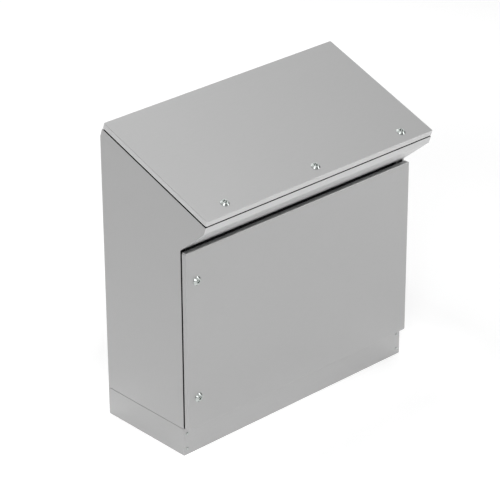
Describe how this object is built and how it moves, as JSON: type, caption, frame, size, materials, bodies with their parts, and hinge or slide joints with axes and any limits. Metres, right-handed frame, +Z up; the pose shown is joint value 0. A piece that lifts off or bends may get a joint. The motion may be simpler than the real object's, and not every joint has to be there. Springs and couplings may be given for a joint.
{
  "type": "control desk enclosure",
  "caption": "Floor-standing stainless control desk: sloping lockable lid on stays over a front cupboard with a hinged, lockable door, on a bolted plinth with floor fixing holes.",
  "frame": {"origin": "on the floor, under the middle of the overall box", "axes": "+Z up, +X to the right of someone facing the door, -Y towards that person"},
  "size_m": [1, 0.503, 1.0646],
  "materials": {
    "stainless": "fine brushed",
    "zinc": "zinc plated",
    "galvanised": "galvanised, spangled",
    "dark_steel": "powder coated",
    "lock_metal": "polished die casting",
    "brass": "plain",
    "rubber": "foamed seal"
  },
  "bodies": {
    "cabinet": {"side_panel_left": "stainless", "side_panel_right": "stainless", "rear_panel": "stainless", "nose_panel": "stainless", "base_pan": "stainless", "door_stile_left": "stainless", "door_stile_right": "stainless", "door_header": "stainless", "door_sill": "stainless", "lid_rim_sides": "stainless", "lid_rim_front": "stainless", "lid_rim_rear": "stainless", "opening_trims": "rubber", "gland_plates": "stainless", "gland_gaskets": "rubber", "gland_screws": "zinc", "cable_clamp_rail": "zinc", "mounting_plate": "galvanised", "plate_posts": "zinc", "plate_screws": "zinc", "earth_stud": "brass", "plinth_front_cover": "stainless", "plinth_rear_cover": "stainless", "plinth_side_cover_left": "stainless", "plinth_side_cover_right": "stainless", "plinth_corners_front": "dark_steel", "plinth_corners_rear": "dark_steel", "plinth_cover_screws": "zinc", "plinth_body_bolts": "zinc", "door_hinge_brackets": "zinc", "lid_hinge_brackets": "zinc", "hinge_screws": "zinc", "stay_posts": "zinc"},
    "door": {"door_skin": "stainless", "door_rails": "stainless", "door_gasket": "rubber", "door_hinge_leaves": "zinc", "door_hinge_pins": "zinc", "door_lock_housings": "lock_metal", "door_lock_nuts": "zinc"},
    "lid": {"lid_skin": "stainless", "lid_stiffeners": "stainless", "lid_gasket": "rubber", "lid_hinge_leaves": "zinc", "lid_hinge_pins": "zinc", "lid_lock_housings": "lock_metal", "lid_lock_nuts": "zinc", "stay_tracks": "zinc"},
    "upper_door_lock": {"upper_door_lock_insert": "lock_metal", "upper_door_lock_cam": "zinc"},
    "lower_door_lock": {"lower_door_lock_insert": "lock_metal", "lower_door_lock_cam": "zinc"},
    "left_lid_lock": {"left_lid_lock_insert": "lock_metal", "left_lid_lock_cam": "zinc"},
    "middle_lid_lock": {"middle_lid_lock_insert": "lock_metal", "middle_lid_lock_cam": "zinc"},
    "right_lid_lock": {"right_lid_lock_insert": "lock_metal", "right_lid_lock_cam": "zinc"},
    "stay_left": {"stay_arm_left": "zinc"},
    "stay_right": {"stay_arm_right": "zinc"}
  },
  "joints": [
    {"name": "door_hinge", "type": "hinge", "parent": "cabinet", "child": "door", "pos_m": [0.49, -0.13945, 0.422], "axis": [0, 0, 1], "range_deg": [0, 120]},
    {"name": "lid_hinge", "type": "hinge", "parent": "cabinet", "child": "lid", "pos_m": [0, 0.22642, 1.05181], "axis": [-1, 0, 0], "range_deg": [0, 50]},
    {"name": "upper_door_lock_turn", "type": "hinge", "parent": "door", "child": "upper_door_lock", "pos_m": [-0.4545, -0.14845, 0.6325], "axis": [0, 1, 0], "range_deg": [0, 90]},
    {"name": "lower_door_lock_turn", "type": "hinge", "parent": "door", "child": "lower_door_lock", "pos_m": [-0.4545, -0.14845, 0.2115], "axis": [0, 1, 0], "range_deg": [0, 90]},
    {"name": "left_lid_lock_turn", "type": "hinge", "parent": "lid", "child": "left_lid_lock", "pos_m": [-0.39, -0.20926, 0.90387], "axis": [0, 0.342, -0.9397], "range_deg": [0, 90]},
    {"name": "middle_lid_lock_turn", "type": "hinge", "parent": "lid", "child": "middle_lid_lock", "pos_m": [0, -0.20926, 0.90387], "axis": [0, 0.342, -0.9397], "range_deg": [0, 90]},
    {"name": "right_lid_lock_turn", "type": "hinge", "parent": "lid", "child": "right_lid_lock", "pos_m": [0.39, -0.20926, 0.90387], "axis": [0, 0.342, -0.9397], "range_deg": [0, 90]},
    {"name": "stay_left_pivot", "type": "hinge", "parent": "cabinet", "child": "stay_left", "pos_m": [-0.444, 0.09914, 0.92453], "axis": [-1, 0, 0], "range_deg": [0, 100]},
    {"name": "stay_right_pivot", "type": "hinge", "parent": "cabinet", "child": "stay_right", "pos_m": [0.444, 0.09914, 0.92453], "axis": [-1, 0, 0], "range_deg": [0, 100]}
  ],
  "couplings": [
    {"joint": "stay_left_pivot", "follows": "lid_hinge", "ratio": 2},
    {"joint": "stay_right_pivot", "follows": "lid_hinge", "ratio": 2}
  ]
}
